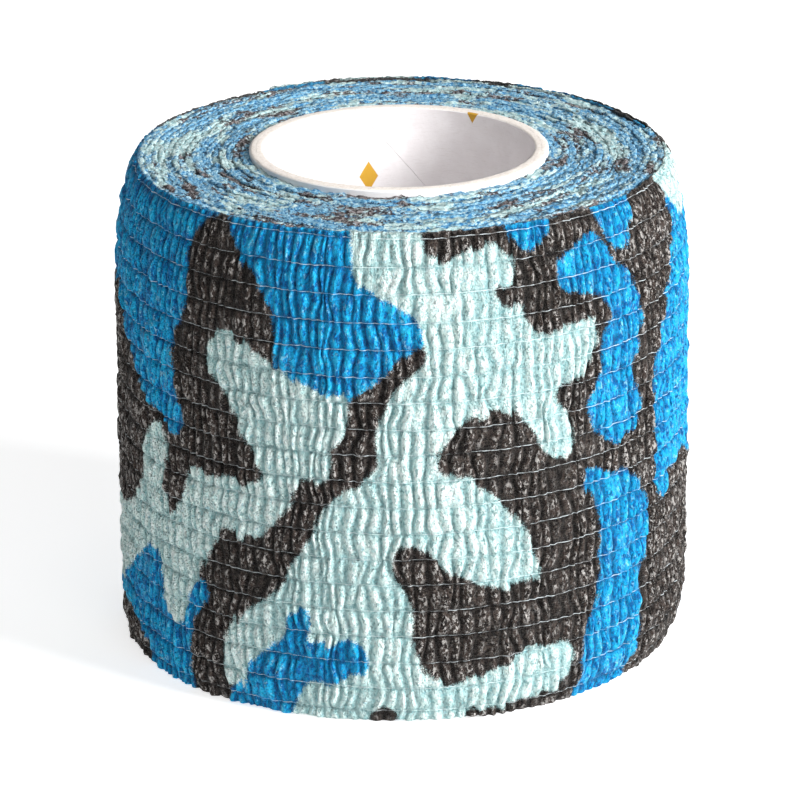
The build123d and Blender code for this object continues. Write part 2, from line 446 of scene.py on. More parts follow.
def bead_relief(at):
    """Relief, 0 in a valley and about 1 on a crest: skewed beads, some dimpled and some run together."""
    skewed = at.part ** (1 + BEAD_SKEW * at.scatter(16))
    ridge = np.sin(np.pi * skewed) ** (CREST_POWER + CREST_SPREAD * at.scatter(19))
    dent = 0.5 + DIMPLE_SPREAD * at.scatter(26)
    away = ((skewed - 0.5) / DIMPLE_WIDTH) ** 2 + ((at.middle - dent) / DIMPLE_HEIGHT) ** 2
    dimple = np.clip(1.8 * at.scatter(25) - 0.7, 0, DEEPEST_DIMPLE) * np.exp(-away)
    ridge = ridge * (1 - dimple)
    merged = np.clip(0.9 * scatter(17, np.round(at.u).astype(int), at.row) - 0.25, 0, MOST_MERGED)
    ridge = merged + (1 - merged) * ridge
    pinch = (1 - at.middle) * at.scatter(18) + at.middle * at.scatter(18, 1)
    pinch = PINCH + PINCH_SPREAD * pinch
    bulge = (4 * at.middle * (1 - at.middle)) ** 0.5
    outside = (at.v < 0) | (at.v > THREAD_COUNT - 1)
    bulge = np.where(outside, 0.8 * np.clip(at.margin * 1.8, 0, 1) ** 0.6, bulge)
    size = 1 + BEAD_SPREAD * at.scatter(12) + BEAD_WAVES * bead_height(at.u / 6.0, at.v / 4.0)
    size = np.clip(size, SMALLEST_BEAD, LARGEST_BEAD)
    return PUFF * bulge + (1 - PUFF) * ridge * (pinch + (1 - pinch) * bulge) * size


def crepe_grid(phases, rows, inner=False):
    """Radius, angle, height and relief of the pleated face at each pleat and thread coordinate."""
    at = Cells(phases, rows)
    angle, height, relief = swayed_angle(at), ruffled_height(at), bead_relief(at)
    loose = np.clip((angle - (TIP - UNCOVERED)) / OPENING, 0, 1)
    radius = inner_face(angle)
    from_top = np.clip(STRIP_WIDTH - height, 0, 9)
    if inner:
        rim = np.exp(-np.minimum(height, from_top) / INNER_REACH)
        raised = INNER_RELIEF * np.clip(relief, 0, 1) * (1 - rim) - INNER_HUG * rim
        return radius + loose * raised, angle, height, relief
    depth = COVERED_DEPTH + (PLEAT_DEPTH - COVERED_DEPTH) * loose
    lumps = LUMPS * web_wave(at.u * 1.4, at.v * 2.9)
    lumps = lumps + FINE_LUMPS * web_wave(at.u * 3.3 + 50, at.v * 5.1)
    swell = COVERED_SWELL + (SWELL - COVERED_SWELL) * loose
    radius = radius + LAMINATE + swell - depth * (1 - relief) + lumps * (0.4 + 0.6 * loose)
    radius = radius - RIM_ROUNDING * loose * np.exp(-from_top / RIM_REACH)
    return radius, angle, height, relief


# how far crimping shifts the print, in millimetres: along the strip and up it
CRIMP_ALONG, CRIMP_UP, CRIMP_CELL = 0.14, 0.42, 0.16


def print_spots(phases, rows, angle, height):
    """Where the print is looked up: shifted a little from bead to bead, as crimping does."""
    u, v = np.meshgrid(phases, rows)
    pleat, cell = np.floor(u).astype(int), np.floor(v + 1e-9).astype(int)
    along = np.radians(angle - PRINT_START) * ROLL_RADIUS + CRIMP_ALONG * scatter(13, pleat, cell)
    up = height + CRIMP_UP * scatter(14, pleat, cell * 0) + CRIMP_CELL * scatter(15, pleat, cell)
    return np.stack([along.ravel(), up.ravel()], -1)


def print_distances(spots):
    """The print's two attributes: distance to the nearest mint and the nearest blue edge."""
    patches = {"mint": MINT_PATCHES, "blue": BLUE_PATCHES}
    return {name: distance_to_patches(repeated(outlines), spots) for name, outlines in patches.items()}


WIDEST_BAND = 400
# rows of a soft rim: the share of the way to the inner face, and the lift in millimetres
RIM_LIPS = ((0.08, 0.06), (0.34, 0.14), (0.66, 0.15), (0.94, 0.11))
RIM_RAGGED, RIM_LUMPS = 0.9, 0.04


def rim_rows(outer, inner, phases, edge):
    """Rows of the rim that joins the two faces at their top (edge -1) or bottom (edge 0) row."""
    lips = []
    for share, lift in RIM_LIPS:
        mixed = [(1 - share) * o[edge] + share * i[edge] for o, i in zip(outer, inner)]
        crumb = rim_crumb(phases * 2.6, share * 17.0 + edge)
        radius = mixed[0] + RIM_LUMPS * rim_crumb(phases * 2.1, share * 29.0 + edge)
        lift = lift * (1 + RIM_RAGGED * crumb) * (1 if edge else -1)
        height = np.clip(mixed[2] + lift, 0, STRIP_WIDTH + 0.4)
        lips.append((radius, mixed[1], height, 0.6 + 0.4 * crumb))
    return lips if edge else lips[::-1]


def crepe_piece(name, first, last, fine_inside):
    """A closed piece of the strip between two valleys: pleated outer face, rims and inner face."""
    phases, rows = column_phases(first, last), row_phases()
    on_thread = np.isclose(rows, np.round(rows)) | (rows < -0.4) | (rows > THREAD_COUNT - 0.9)
    inner_rows = rows if fine_inside else rows[on_thread]
    outer = crepe_grid(phases, rows)
    inner = crepe_grid(phases, inner_rows, inner=True)
    top, bottom = (rim_rows(outer, inner, phases, edge) for edge in (-1, 0))
    stacks = []
    for k in range(4):
        above, below = (np.stack([lip[k] for lip in lips]) for lips in (top, bottom))
        stacks.append(np.vstack([outer[k], above, inner[k][::-1], below]))
    radius, angle, height, relief = stacks
    shares = [share for share, _ in RIM_LIPS]
    side = np.concatenate([np.zeros(len(rows)), shares, np.ones(len(inner_rows)), shares[::-1]])
    lips = len(RIM_LIPS)
    row_guess = np.concatenate([rows, [rows[-1]] * lips, inner_rows[::-1], [rows[0]] * lips])
    index = np.arange(radius.size).reshape(radius.shape)
    caps = end_caps(index, rows, inner_rows, lips)
    attributes = {
        "weave": triples(np.radians(angle) * ROLL_RADIUS, height, radius - inner_face(angle)),
        "relief": relief.ravel(),
        "inside": np.repeat(side, len(phases)),
    }
    attributes.update(print_distances(print_spots(phases, row_guess, angle, height)))
    up = row_layout(len(side), len(rows), fine_inside)
    bake = grid_uvs(up, len(phases), bands=2 if len(phases) > WIDEST_BAND else 1)
    return make_piece(name, place(radius, angle, height), grid_faces(index), attributes, bake, caps)


def end_caps(index, rows, inner_rows, lips):
    """Faces that close a grid's two ends: one for each stretch of the inner face, and at each rim."""
    faces = []
    for ring, turned in ((index[:, 0], -1), (index[:, -1], 1)):
        outer, top = list(ring[: len(rows)]), list(ring[len(rows) : len(rows) + lips])
        inner = list(ring[len(rows) + lips : len(rows) + lips + len(inner_rows)])[::-1]
        bottom = list(ring[len(rows) + lips + len(inner_rows) :])
        faces += [[outer[-1], *top, inner[-1]][::turned], [inner[0], *bottom, outer[0]][::turned]]
        for k in range(len(inner_rows) - 1):
            low, high = np.searchsorted(rows, inner_rows[k : k + 2] - 1e-9)
            faces.append([*outer[low : high + 1], inner[k + 1], inner[k]][::turned])
    return faces


def row_layout(count_rows, outer_count, fine_inside):
    """Where the rows of a closed strip lie, from 0 to 1: most room for the outer face and the rims."""
    room = np.full(count_rows, 1.0 if fine_inside else 0.4)
    room[:outer_count] = 1.0
    room[outer_count : outer_count + len(RIM_LIPS)] = 2.0
    room[-len(RIM_LIPS) :] = 2.0
    up = np.concatenate([[0], np.cumsum(room)])
    return up / up[-1]


# ======== Inner turns: hidden but for their crinkled edges, which make the roll's two ends ========
EDGE_COLUMN = 0.26
EDGE_HEIGHTS = (0.0, 0.4, 1.5)
EDGE_THICKNESS = 0.80
EDGE_LIPS = (1.0, 0.4, -0.3, -0.96)
FACE_RADIUS = 7.0
WOUND_BANDS = 16
# how far an edge strays from its spiral, sideways and up or down, in millimetres
SQUIGGLE, SHIVER = 0.06, 0.03
SLOW_STRAY, QUICK_STRAY = 0.15, 0.10
# how far the edges lie inside the strip's full width, what they rise at the core, and the degrees
# over which that rise fades out
EDGE_INSET, CORE_RISE, CORE_FADE = 0.22, 0.22, 700.0
# millimetres from the edge over which its shape fades out
EDGE_FADE = 0.9
# crumbled crest of an edge, in millimetres, and its deepest groove
CREST, CREST_CRUMBS, GROOVE = 0.20, 0.22, 0.03
squiggle_field, turn_height, crumb_field = Field(20), Field(21), Field(22)


def strip_length(angle):
    """Length in millimetres along the strip's inner face, from its inner end to a winding angle."""
    return np.radians(angle) * (inner_face(0.0) + WINDING_PITCH * angle / 720.0)


def wound_turns(name):
    """The strip from its inner end to the start of the crepe of the outer turn, as one closed piece."""
    angles, angle = [], 0.0
    while angle < DENSE_START - 0.15:
        angles.append(angle)
        angle += math.degrees(EDGE_COLUMN / inner_face(angle))
    angles = np.array(angles)
    length = strip_length(angles)
    phase = length / PLEAT_WIDTH + 0.55 * squiggle_field(length / 2.3, 7.7)
    bend = SQUIGGLE * np.sin(2 * np.pi * phase) + SHIVER * squiggle_field(length / 0.8, 1.5)
    rise = SLOW_STRAY * turn_height(length / 26.0, 2.2)
    rise = rise + QUICK_STRAY * turn_height(length / 1.9, 9.1)
    stations = [(h, False) for h in EDGE_HEIGHTS] + [(h, True) for h in EDGE_HEIGHTS[::-1]]
    rows = []
    for outward in (1, -1):
        for distance, top in stations[::outward]:
            near = math.exp(-distance / EDGE_FADE)
            # the first turn is thicker, down to the core, so that no wedge is left open beside it
            fill = near * np.where(angles < 360.0, WINDING_PITCH * angles / 360.0, 0.0)
            half = 0.5 * (LAMINATE + (EDGE_THICKNESS - LAMINATE) * near + fill)
            half = half * (1 + 0.06 * near * crumb_field(length / 0.5, distance * 3 + top))
            centre = inner_face(angles) + LAMINATE / 2 - fill / 2 + bend * (0.25 + 0.75 * near)
            base = EDGE_INSET + distance - (rise + CORE_RISE * np.exp(-angles / CORE_FADE)) * near
            level = STRIP_WIDTH - base if top else base
            rows.append((centre + outward * half, angles, level, near + angles * 0, angles * 0))
            if distance > 0.0 or top != (outward == 1):
                continue
            for lip in EDGE_LIPS[::outward]:
                crumb = 0.8 * crumb_field(length / 0.62, 4.4 + 40 * top + 2.2 * lip)
                crumb = crumb + 0.5 * crumb_field(length / 0.31, 24.4 + 40 * top + 7 * lip)
                groove = np.clip(0.3 + 1.1 * turn_height(length / 14.0, 30.0 + 3 * lip), 0, 1)
                groove = abs(lip) ** 4 * groove
                crest = CREST + CREST_CRUMBS * crumb - GROOVE * groove
                radius = centre + half * (lip + 0.16 * crumb_field(length / 0.55, 8.0 + 5 * lip))
                tall = level + crest if top else level - crest
                # relief drops in the grooves between turns, and crepe_edges paints shade there from it
                rows.append((radius, angles, tall, near + angles * 0, 0.5 + 0.4 * crumb - 0.35 * groove))
    radius, angle, height, near, relief = (np.stack([row[k] for row in rows]) for k in range(5))
    height = np.clip(height, 0.0, STRIP_WIDTH + 0.45)
    index = np.arange(radius.size).reshape(radius.shape)
    caps = [list(index[:, 0])[::-1], list(index[:, -1])]
    turned = np.radians(angle)
    along = np.broadcast_to(length, radius.shape)
    attributes = {
        "weave": triples(along, height, radius - inner_face(angle)),
        "relief": relief.ravel(),
        "face": triples(FACE_RADIUS * np.cos(turned), FACE_RADIUS * np.sin(turned), radius),
    }
    up = np.concatenate([[0], np.cumsum(np.where(near[:, 0] > 0.5, 1.0, 0.25))])
    bake = grid_uvs(up / up[-1], len(angles), bands=WOUND_BANDS)
    return make_piece(name, place(radius, angle, height), grid_faces(index), attributes, bake, caps)


# ======== Elastic threads ========
thread_depth = Field(30)
THREAD_SIDES, THREAD_STEPS = 6, 6
# how deep a thread sinks into the crepe, as shares of its radius, and how flat it is
THREAD_SINK, SINK_SPREAD = 0.15, 0.9
HIGHEST_SINK, DEEPEST_SINK = -0.4, 1.1
THREAD_FLATNESS = 0.85


def thread_tubes(name, first, last):
    """All the elastic threads of a stretch of the crepe, as one piece of thin closed tubes."""
    phases = np.linspace(first, last, (last - first) * THREAD_STEPS + 1)
    rows = np.arange(THREAD_COUNT, dtype=float)
    radius, angle, height, _ = crepe_grid(phases, rows)
    around = 2 * np.pi * np.arange(THREAD_SIDES)[:, None] / THREAD_SIDES
    points, quads, caps = [], [], []
    for thread in range(THREAD_COUNT):
        sunk = THREAD_SINK - SINK_SPREAD * thread_depth(phases / 1.6, thread * 2.7)
        sunk = THREAD_RADIUS * np.clip(sunk, HIGHEST_SINK, DEEPEST_SINK)
        tube_radius = (radius[thread] - sunk)[None] + THREAD_RADIUS * np.cos(around)
        tube_height = height[thread][None] + THREAD_FLATNESS * THREAD_RADIUS * np.sin(around)
        ring = np.broadcast_to(angle[thread], tube_radius.shape)
        index = np.arange(tube_radius.size).reshape(tube_radius.shape) + thread * tube_radius.size
        points.append(place(tube_radius, ring, tube_height))
        quads.append(grid_faces(index))
        caps += [list(index[:, 0]), list(index[:, -1])[::-1]]
    points = np.concatenate(points)

    def on_all_sides(values):
        values = values.reshape(THREAD_COUNT, 1, len(phases))
        return np.tile(values, (1, THREAD_SIDES, 1)).ravel()

    along = on_all_sides(np.radians(angle) * ROLL_RADIUS)
    attributes = {"weave": triples(along, points[:, 2], along * 0)}
    prints = print_distances(print_spots(phases, rows, angle, height))
    attributes.update({key: on_all_sides(values) for key, values in prints.items()})
    return make_piece(name, points, np.concatenate(quads)[:, ::-1], attributes, None, caps)


# ======== Core ========
# each ply's node, thickness in millimetres, and seam angle at the top in degrees
PLIES = [
    ("core_liner_ply", 0.20, 109.0),
    ("core_board_inner_ply", 0.46, 20.0),
    ("core_board_outer_ply", 0.46, 290.0),
    ("core_wrap_ply", 0.19, 200.0),
]
PLY_GAP = 0.03
# the plies are swollen over their gaps, but for a hair
SWOLLEN_GAP = 0.95 * PLY_GAP
SEAM_WIDTH = 0.04
SEAM_LEAD = 99.0
PLY_COLUMNS = np.concatenate([[0, 0.0004], np.linspace(0.003, 0.997, 239), [0.9996, 1]])
PLY_LEVELS = np.array(
    [0.04, 0.4, 1.5, 5, 10, 15, 20, 25, 30, 35, 40, 44, 47, 49, 50.0, 50.4, 50.58, 50.67]
)
PLY_LIPS = (0.998, 0.9, 0.0, -0.9, -0.998)
WALL_WAVES, RIM_WAVES, RIM_CROWN = 0.015, 0.015, 0.14
rim_field, wall_field = Field(40), Field(41)


def core_ply(node, inner, outer, seam):
    """A helically wound ply with its butt seam open, a soft uneven rim and slightly wavy walls."""
    turn = 360.0 * (1 - SEAM_WIDTH / (2 * math.pi * inner))
    half, centre = (outer - inner) / 2, (outer + inner) / 2
    path = [(half, z) for z in PLY_LEVELS] + [(half * lip, CORE_LENGTH) for lip in PLY_LIPS]
    path += [(-half, z) for z in PLY_LEVELS[::-1]] + [(-half * lip, 0.0) for lip in PLY_LIPS]
    rows = []
    for offset, level in path:
        angle = seam + 360.0 * (level - CORE_LENGTH) / SEAM_LEAD + PLY_COLUMNS * turn
        radius = centre + offset + WALL_WAVES * wall_field(angle / 12.0, level / 4.0)
        end = math.exp(-min(level, CORE_LENGTH - level) / 0.4)
        from_edge = (2 * radius - CORE_RADIUS - BORE_RADIUS) / (CORE_RADIUS - BORE_RADIUS)
        crown = RIM_CROWN * np.abs(from_edge) ** 5
        crown = crown + RIM_WAVES * (1 + rim_field(angle / 3.0, inner * 5))
        height = level - np.sign(level - CORE_LENGTH / 2) * end * crown
        rows.append((np.minimum(radius, CORE_RADIUS + 0.02), angle, height))
    radius, angle, height = (np.stack([row[k] for row in rows]) for k in range(3))
    turned = np.radians(angle)
    points = triples(radius * np.cos(turned), radius * np.sin(turned), height)
    index = np.arange(radius.size).reshape(radius.shape)
    caps = end_caps(index, PLY_LEVELS, PLY_LEVELS, len(PLY_LIPS))
    bake = grid_uvs(np.linspace(0, 1, len(path) + 1), len(PLY_COLUMNS))
    weave = {"weave": triples(turned * centre, height, radius)}
    piece = make_piece(node.replace("_ply", ""), points, grid_faces(index), weave, bake, caps)
    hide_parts(node)
    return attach(piece, "roll")


# ======== Materials ========
class Shader:
    """A small helper that adds nodes and links to one material."""

    def __init__(self, name):
        self.material = bpy.data.materials.new(name)
        self.material.use_nodes = True
        self.tree = self.material.node_tree
        self.tree.nodes.clear()
        self.surface = self.add("ShaderNodeBsdfPrincipled")
        output = self.add("ShaderNodeOutputMaterial")
        self.tree.links.new(self.surface.outputs[0], output.inputs["Surface"])

    def add(self, kind, **settings):
        node = self.tree.nodes.new(kind)
        for key, value in settings.items():
            setattr(node, key, value)
        return node

    def join(self, socket, value):
        if isinstance(value, bpy.types.NodeSocket):
            self.tree.links.new(value, socket)
        elif value is not None:
            socket.default_value = value

    def put(self, node, **inputs):
        """Links or sets a node's inputs. An underscore in a name stands for a space."""
        for key, value in inputs.items():
            self.join(node.inputs[key.replace("_", " ")], value)

    def attribute(self, name, vector=False):
        node = self.add("ShaderNodeAttribute", attribute_name=name)
        return node.outputs["Vector" if vector else "Fac"]

    def math(self, operation, *values):
        node = self.add("ShaderNodeMath", operation=operation)
        for socket, value in zip(node.inputs, values):
            self.join(socket, value)
        return node.outputs[0]

    def times(self, a, b):
        return self.math("MULTIPLY", a, b)

    def sway(self, noise, size):
        """A noise value as a shift to both sides of zero."""
        return self.times(self.math("SUBTRACT", noise, 0.5), size)

    def stretch(self, vector, scale, turn=0.0):
        node = self.add("ShaderNodeMapping")
        self.put(node, Vector=vector, Scale=scale, Rotation=(0, 0, turn))
        return node.outputs[0]

    def noise(self, vector, scale, detail=2.0, roughness=0.5, distortion=0.0):
        node = self.add("ShaderNodeTexNoise")
        self.put(node, Vector=vector, Scale=scale, Detail=detail)
        self.put(node, Roughness=roughness, Distortion=distortion)
        return node.outputs["Fac"]

    def between(self, value, low, high, start=0.0, end=1.0):
        node = self.add("ShaderNodeMapRange", interpolation_type="SMOOTHSTEP")
        self.put(node, Value=value, From_Min=low, From_Max=high, To_Min=start, To_Max=end)
        return node.outputs["Result"]

    def mix(self, share, a, b, blend="MIX"):
        node = self.add("ShaderNodeMix", data_type="RGBA", blend_type=blend)
        self.put(node, Factor=share, A=a, B=b)
        return node.outputs["Result"]

    def bump(self, height, strength, distance, normal=None):
        node = self.add("ShaderNodeBump")
        self.put(node, Strength=strength, Distance=distance, Height=height, Normal=normal)
        return node.outputs["Normal"]

    def finish(self, colour, roughness, normal=None, **settings):
        self.put(self.surface, Base_Color=colour, Roughness=roughness, Normal=normal, **settings)
        return self.material


def shade(*levels):
    """An sRGB colour, red, green and blue from 0 to 255, as linear red, green, blue and alpha."""
    shares = [level / 255 for level in levels]
    linear = [s / 12.92 if s <= 0.04045 else ((s + 0.055) / 1.055) ** 2.4 for s in shares]
    return (*linear, 1.0)


def fibre_coats(m, weave):
    """Short crossed fibres of a nonwoven web, as a value from 0 to 1."""
    coats = None
    for turn, scale in ((0.5, 1.5), (-0.6, 1.7), (1.45, 1.6)):
        lines = m.between(m.noise(m.stretch(weave, (1.2, 5.0, 3.0), turn), scale, 1.0), 0.57, 0.68)
        coats = lines if coats is None else m.math("MAXIMUM", coats, lines)
    return coats


def print_masks(m, weave):
    """Where the mint and the blue print lie, from 0 to 1, with soft fibrous edges."""
    wander = m.sway(m.noise(weave, 2.4, 2.0, 0.6), 0.6)
    wander = m.math("ADD", wander, m.sway(m.noise(weave, 7.0, 2.0, 0.7), 1.1))
    edges = (m.math("ADD", m.attribute(name), wander) for name in ("mint", "blue"))
    return [m.between(edge, 0.20, -0.20) for edge in edges]


def printed_crepe():
    """Charcoal web printed blue and mint: fibrous edges, pitted mint, fibre flecks; painted crest
    highlights and glints, painted valley shade.
    """
    m = Shader("printed_crepe")
    weave = m.attribute("weave", vector=True)
    relief, inside = m.attribute("relief"), m.attribute("inside")
    mint_here, blue_here = print_masks(m, weave)
    fibres = fibre_coats(m, weave)
    mottle = m.between(m.noise(weave, 0.7, 3.0, 0.6), 0.3, 0.7)
    grain = m.noise(m.stretch(weave, (1.0, 0.45, 1.0)), 2.2, 2.0, 0.6)
    speck = m.noise(m.stretch(weave, (1.0, 0.8, 1.0)), 1.8, 3.0, 0.7)
    net = m.noise(m.stretch(weave, (1.0, 0.7, 1.0)), 2.7, 2.0, 0.65)
    # painted glints: pale specks that stand in for light glancing off the fibres
    painted_glint = m.between(m.noise(m.stretch(weave, (1.0, 0.7, 1.0)), 2.3, 3.0, 0.7), 0.56, 0.64)
    crest_glint = m.between(m.noise(m.stretch(weave, (1.0, 0.6, 1.0)), 2.9, 3.0, 0.75), 0.52, 0.58)
    # high and crest pick out the pleats' crests, where painted highlights and glints go
    high = m.between(relief, 0.35, 0.95)
    crest = m.times(high, m.between(grain, 0.42, 0.60))
    charcoal = m.mix(m.between(grain, 0.46, 0.60), shade(17, 9, 8), shade(60, 50, 46))
    charcoal = m.mix(m.times(fibres, 0.28), charcoal, shade(128, 118, 108))
    # painted glints: near-white flecks on the charcoal's crests, where light would catch
    charcoal = m.mix(m.times(m.times(crest_glint, high), 0.8), charcoal, shade(198, 194, 190))
    blue = m.mix(mottle, shade(0, 146, 212), shade(0, 164, 224))
    blue = m.mix(m.between(grain, 0.50, 0.38, 0.0, 0.8), blue, shade(0, 86, 154))
    # painted highlight: paler, whiter blue on the crests
    blue = m.mix(m.times(crest, 0.55), blue, shade(50, 198, 234))
    blue = m.mix(m.times(m.times(painted_glint, high), 0.55), blue, shade(160, 228, 248))
    mint = m.mix(mottle, shade(208, 235, 231), shade(229, 246, 241))
    mint = m.mix(m.between(net, 0.50, 0.40, 0.0, 0.5), mint, shade(156, 208, 210))
    # painted highlight: paler mint on the crests
    mint = m.mix(m.times(crest, 0.6), mint, shade(238, 249, 247))
    mint = m.mix(m.times(painted_glint, 0.6), mint, shade(248, 254, 254))
    mint = m.mix(m.between(speck, 0.57, 0.62, 0.0, 0.65), mint, shade(98, 148, 152))
    mint = m.mix(m.between(speck, 0.40, 0.33, 0.0, 0.5), mint, shade(120, 184, 204))
    # painted shade: a darker teal tint in the mint's valleys
    mint = m.mix(m.between(relief, 0.80, 0.25, 0.0, 0.45), mint, shade(138, 196, 200))
    colour = m.mix(mint_here, m.mix(blue_here, charcoal, blue), mint)
    # light hardly reaches the valleys, though mint scatters some into them
    hollow = m.between(relief, 0.74, 0.12, 0.0, 0.68)
    hollow = m.times(hollow, m.between(mint_here, 0.0, 1.0, 1.0, 0.45))
    colour = m.mix(hollow, colour, m.mix(1.0, colour, shade(112, 134, 144), "MULTIPLY"))
    colour = m.mix(m.times(inside, 0.35), colour, shade(108, 112, 114))
    creases = m.noise(m.stretch(weave, (2.2, 0.8, 1.0)), 1.4, 3.0, 0.65)
    normal = m.bump(creases, 0.9, 0.0007)
    normal = m.bump(speck, 1.0, 0.0005, normal)
    normal = m.bump(net, 1.0, 0.0004, normal)
    normal = m.bump(fibres, 0.6, 0.0001, normal)
    sheen = {"Sheen_Weight": 0.09, "Sheen_Roughness": 0.25}
    return m.finish(colour, 0.62, normal, **sheen, Specular_IOR_Level=0.15)


def crepe_edges():
    """The turns' edges: blue, mint and charcoal stretches of the print, one after the other, with painted
    shade in the grooves between turns.
    """
    m = Shader("crepe_edges")
    weave, face = m.attribute("weave", vector=True), m.attribute("face", vector=True)
    relief = m.attribute("relief")
    runs = m.stretch(weave, (1.0, 0.02, 0.0))
    fine = m.noise(weave, 2.6, 3.0, 0.7)
    # the print strays a little at each crumb and fibre; in the grooves between turns it draws back to
    # charcoal, a painted shade
    wander = m.sway(m.noise(weave, 1.0, 3.0, 0.6), 0.28)
    wander = m.math("ADD", wander, m.sway(fine, 0.22))
    wander = m.math("SUBTRACT", wander, m.between(relief, 0.26, 0.0, 0.0, 0.05))
    dyed = m.mix(0.55, m.noise(runs, 0.15, 2.0, 0.55), m.noise(face, 0.34, 2.0, 0.55))
    pale = m.mix(0.55, m.noise(runs, 0.21, 2.0, 0.55, 0.4), m.noise(face, 0.38, 2.0, 0.6, 0.4))
    blue_here = m.between(m.math("ADD", dyed, wander), 0.42, 0.48)
    mint_here = m.between(m.math("ADD", pale, wander), 0.50, 0.57)
    charcoal = m.mix(m.between(fine, 0.44, 0.60), shade(56, 50, 52), shade(158, 150, 150))
    blue = m.mix(m.between(fine, 0.38, 0.56), shade(46, 120, 172), shade(134, 188, 214))
    blue = m.mix(m.between(fine, 0.56, 0.62, 0.0, 0.6), blue, shade(206, 228, 234))
    mint = m.mix(m.between(fine, 0.38, 0.58), shade(146, 190, 196), shade(204, 226, 225))
    colour = m.mix(mint_here, m.mix(blue_here, charcoal, blue), mint)
    # painted shade: the grooves between turns and the turns' sides are darkened
    painted_groove_shade = m.between(relief, 0.16, -0.16, 0.0, 0.6)
    colour = m.mix(painted_groove_shade, colour, m.mix(1.0, colour, shade(88, 94, 106), "MULTIPLY"))
    normal = m.bump(m.noise(weave, 4.0, 3.0, 0.7), 0.9, 0.00025)
    sheen = {"Sheen_Weight": 0.06, "Sheen_Roughness": 0.45}
    return m.finish(colour, 0.8, normal, **sheen, Specular_IOR_Level=0.2)


def thread_white():
    """Pale elastic thread, tinted where the printed web clings to it."""
    m = Shader("elastic_thread")
    weave = m.attribute("weave", vector=True)
    mint_here, blue_here = print_masks(m, weave)
    web = m.mix(blue_here, shade(66, 58, 54), shade(60, 148, 204))
    web = m.mix(mint_here, web, shade(202, 228, 225))
    cling = m.noise(m.stretch(weave, (1.0, 0.3, 1.0)), 1.3, 3.0)
    colour = m.mix(m.between(cling, 0.42, 0.62, 0.25, 0.9), shade(206, 216, 220), web)
    normal = m.bump(m.noise(m.stretch(weave, (4.0, 1.0, 1.0)), 3.0, 2.0), 0.4, 0.00004)
    return m.finish(colour, 0.5, normal, Specular_IOR_Level=0.4)


LOZENGE_STEP, LOZENGE_RISE = 10.7, 19.0
LOZENGE_START, LOZENGE_LEVEL = 2.0, 9.0
LOZENGE_HALF_WIDTH, LOZENGE_HALF_HEIGHT = 1.0, 1.6
LOZENGE_STAGGER = 0.37


def lozenges(m, along, up):
    """Plain gold lozenges printed in staggered rows round the bore, from 0 to 1."""
    column = m.math("DIVIDE", m.math("ADD", along, LOZENGE_START), LOZENGE_STEP)
    stagger = m.times(m.math("FLOOR", column), LOZENGE_STAGGER)
    row = m.math("ADD", m.math("DIVIDE", m.math("ADD", up, LOZENGE_LEVEL), LOZENGE_RISE), stagger)
    across = m.math("ABSOLUTE", m.math("SUBTRACT", m.math("FRACT", column), 0.5))
    tall = m.math("ABSOLUTE", m.math("SUBTRACT", m.math("FRACT", row), 0.5))
    across = m.times(across, LOZENGE_STEP / LOZENGE_HALF_WIDTH)
    tall = m.times(tall, LOZENGE_RISE / LOZENGE_HALF_HEIGHT)
    return m.between(m.math("ADD", across, tall), 1.06, 0.96)


def paper(name, light, dark, rim, gilt=False):
    """Paper of the core: faint fibres and mottling, a rougher cut rim, and gold marks on the liner."""
    m = Shader(name)
    weave = m.attribute("weave", vector=True)
    mottle = m.noise(weave, 0.35, 4.0, 0.6)
    fibres = m.between(m.noise(m.stretch(weave, (0.6, 5.0, 4.0), 0.7), 2.4, 2.0), 0.55, 0.7)
    wall = m.mix(m.between(mottle, 0.3, 0.7), light, dark)
    wall = m.mix(m.times(fibres, 0.12), wall, shade(180, 172, 158))
    cut = m.mix(m.between(m.noise(weave, 3.5, 3.0, 0.7), 0.4, 0.8), rim, shade(222, 212, 200))
    up = m.add("ShaderNodeSeparateXYZ")
    m.put(up, Vector=weave)
    colour = m.mix(m.between(up.outputs[1], CORE_LENGTH - 0.16, CORE_LENGTH - 0.05), wall, cut)
    if gilt:
        colour = m.mix(lozenges(m, up.outputs[0], up.outputs[1]), colour, shade(206, 158, 52))
    normal = m.bump(m.noise(weave, 2.2, 4.0, 0.65), 0.35, 0.00006)
    return m.finish(colour, 0.72, normal, Specular_IOR_Level=0.3)


# ======== The object ========
def paint(piece, material):
    """Gives a piece its one material."""
    piece.data.materials.append(material)
    return piece


def build_strip():
    """The whole crepe strip and its threads. Its free end is seven pieces: six left in place, the last on
    the sixth link.
    """
    print_material, edge_material, thread_material = printed_crepe(), crepe_edges(), thread_white()
    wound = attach(paint(wound_turns("wound_strip"), edge_material), "roll")
    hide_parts("inner_web")
    outer = crepe_piece("outer_turn", 0, SEAMS[0], fine_inside=False)
    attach(paint(outer, print_material), "roll")
    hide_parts("outer_web")
    threads = thread_tubes("elastic_threads", 0, SEAMS[0])
    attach(paint(threads, thread_material), "roll")
    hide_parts(*[f"elastic_thread_{k:02d}" for k in range(1, THREAD_COUNT + 1)])
    bodies = ["roll"] + [f"tail_{k}" for k in range(1, LINKS + 1)]
    for k, (first, last) in enumerate(zip(SEAMS[:-1], SEAMS[1:])):
        crepe = crepe_piece(f"free_end_{k + 1}", first, last, fine_inside=True)
        paint(crepe, print_material)
        line = thread_tubes(f"free_end_{k + 1}_threads", first, last)
        paint(line, thread_material)
        link = min(k + 1, LINKS)
        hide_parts(f"tail_{link}_inner_web", f"tail_{link}_outer_web")
        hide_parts(f"tail_{link}_threads")
        for piece in (crepe, line):
            if k < LINKS:
                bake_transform(piece)
            else:
                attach(piece, bodies[LINKS])


